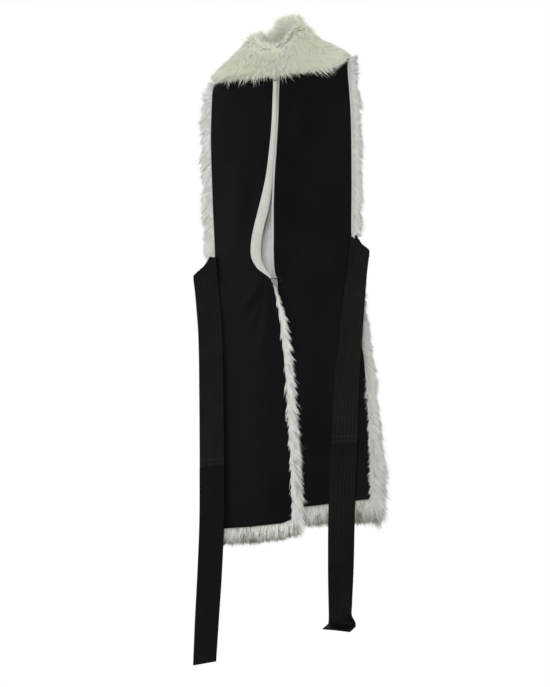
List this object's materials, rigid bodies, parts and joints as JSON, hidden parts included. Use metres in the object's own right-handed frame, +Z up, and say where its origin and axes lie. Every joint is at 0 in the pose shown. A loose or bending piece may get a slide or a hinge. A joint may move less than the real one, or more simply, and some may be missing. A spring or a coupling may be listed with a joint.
{
  "type": "belted fur gilet",
  "caption": "Long sleeveless gilet, black outside and lined with ivory fur that shows at every edge, with a fur cape collar and a leather belt whose ends hang loose.",
  "frame": {"origin": "middle of the neck, level with the inner ends of the shoulder seams, where the wearer's neck and shoulders hold the gilet up", "axes": "+Z up along the hanging body, front facing -Y, +X to the right of someone looking at the front"},
  "size_m": [0.4372, 0.1744, 1.4513],
  "materials": {
    "shell": "matt black lining cloth with a faint sheen",
    "fur": "dense ivory fur, hair about 25 to 40 mm long",
    "facing": "smooth cream skin with a short nap",
    "belt": "black leather, stitched in narrow channels along its length",
    "hook": "black-coated wire"
  },
  "bodies": {
    "root": {"front_left_shell": "shell", "front_right_shell": "shell", "back_shell": "shell", "front_left_fur": "fur", "front_right_fur": "fur", "back_fur": "fur", "collar_fur": "fur", "facing_left": "facing", "facing_right": "facing", "armhole_tape_front_left": "facing", "armhole_tape_front_right": "facing", "armhole_tape_back_left": "facing", "armhole_tape_back_right": "facing", "belt_back": "belt", "tie_left_upper": "belt", "tie_left_lower": "belt", "tie_right_upper": "belt", "tie_right_lower": "belt", "hook": "hook", "eye": "hook"}
  },
  "joints": []
}
